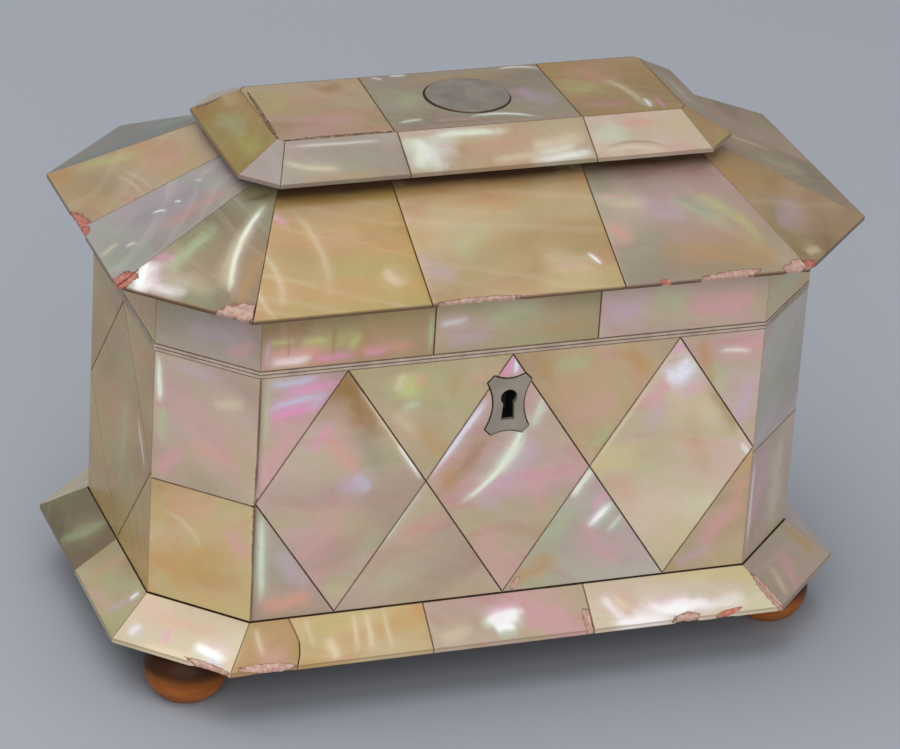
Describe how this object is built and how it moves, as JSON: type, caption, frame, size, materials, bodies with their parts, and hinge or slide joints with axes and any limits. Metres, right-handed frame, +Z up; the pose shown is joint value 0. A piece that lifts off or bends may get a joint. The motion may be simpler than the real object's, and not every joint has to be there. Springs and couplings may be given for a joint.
{
  "type": "mother-of-pearl tea caddy",
  "caption": "Octagonal wooden tea caddy covered with mother-of-pearl plaques, with a hinged sarcophagus lid, sloping plinth, bun feet and a keyhole plate.",
  "frame": {"origin": "on the ground, under the middle of the box", "axes": "+Z up, -Y is the front with the key plate, +X is to the right of someone who looks at the front"},
  "size_m": [0.19, 0.116, 0.1345],
  "materials": {
    "carcass_wood": "satin",
    "foot_wood": "satin",
    "mother_of_pearl": "polished",
    "silver_grey_metal": "satin",
    "light_string": "satin",
    "brass": "satin"
  },
  "bodies": {
    "case": {"case": "carcass_wood", "plinth": "carcass_wood", "case_rim": "light_string", "key_plate": "silver_grey_metal", "front_left_foot": "foot_wood", "front_right_foot": "foot_wood", "back_left_foot": "foot_wood", "back_right_foot": "foot_wood", "left_hinge_case_leaf": "brass", "left_hinge_pin": "brass", "right_hinge_case_leaf": "brass", "right_hinge_pin": "brass", "plinth_front_pearl": "mother_of_pearl", "plinth_front_right_pearl": "mother_of_pearl", "plinth_right_pearl": "mother_of_pearl", "plinth_back_right_pearl": "mother_of_pearl", "plinth_back_pearl": "mother_of_pearl", "plinth_back_left_pearl": "mother_of_pearl", "plinth_left_pearl": "mother_of_pearl", "plinth_front_left_pearl": "mother_of_pearl", "body_front_pearl": "mother_of_pearl", "body_front_right_pearl": "mother_of_pearl", "body_right_pearl": "mother_of_pearl", "body_back_right_pearl": "mother_of_pearl", "body_back_pearl": "mother_of_pearl", "body_back_left_pearl": "mother_of_pearl", "body_left_pearl": "mother_of_pearl", "body_front_left_pearl": "mother_of_pearl"},
    "lid": {"lid": "carcass_wood", "lid_rim": "light_string", "cap": "carcass_wood", "top_disc": "silver_grey_metal", "left_hinge_lid_leaf": "brass", "right_hinge_lid_leaf": "brass", "frieze_front_pearl": "mother_of_pearl", "frieze_front_right_pearl": "mother_of_pearl", "frieze_right_pearl": "mother_of_pearl", "frieze_back_right_pearl": "mother_of_pearl", "frieze_back_pearl": "mother_of_pearl", "frieze_back_left_pearl": "mother_of_pearl", "frieze_left_pearl": "mother_of_pearl", "frieze_front_left_pearl": "mother_of_pearl", "roof_front_pearl": "mother_of_pearl", "roof_front_right_pearl": "mother_of_pearl", "roof_right_pearl": "mother_of_pearl", "roof_back_right_pearl": "mother_of_pearl", "roof_back_pearl": "mother_of_pearl", "roof_back_left_pearl": "mother_of_pearl", "roof_left_pearl": "mother_of_pearl", "roof_front_left_pearl": "mother_of_pearl", "cap_front_pearl": "mother_of_pearl", "cap_front_right_pearl": "mother_of_pearl", "cap_right_pearl": "mother_of_pearl", "cap_back_right_pearl": "mother_of_pearl", "cap_back_pearl": "mother_of_pearl", "cap_back_left_pearl": "mother_of_pearl", "cap_left_pearl": "mother_of_pearl", "cap_front_left_pearl": "mother_of_pearl", "cap_top_pearl": "mother_of_pearl"}
  },
  "joints": [
    {"name": "lid_hinge", "type": "hinge", "parent": "case", "child": "lid", "pos_m": [0, 0.0497, 0.08905], "axis": [-1, 0, 0], "range_deg": [0, 100]}
  ]
}
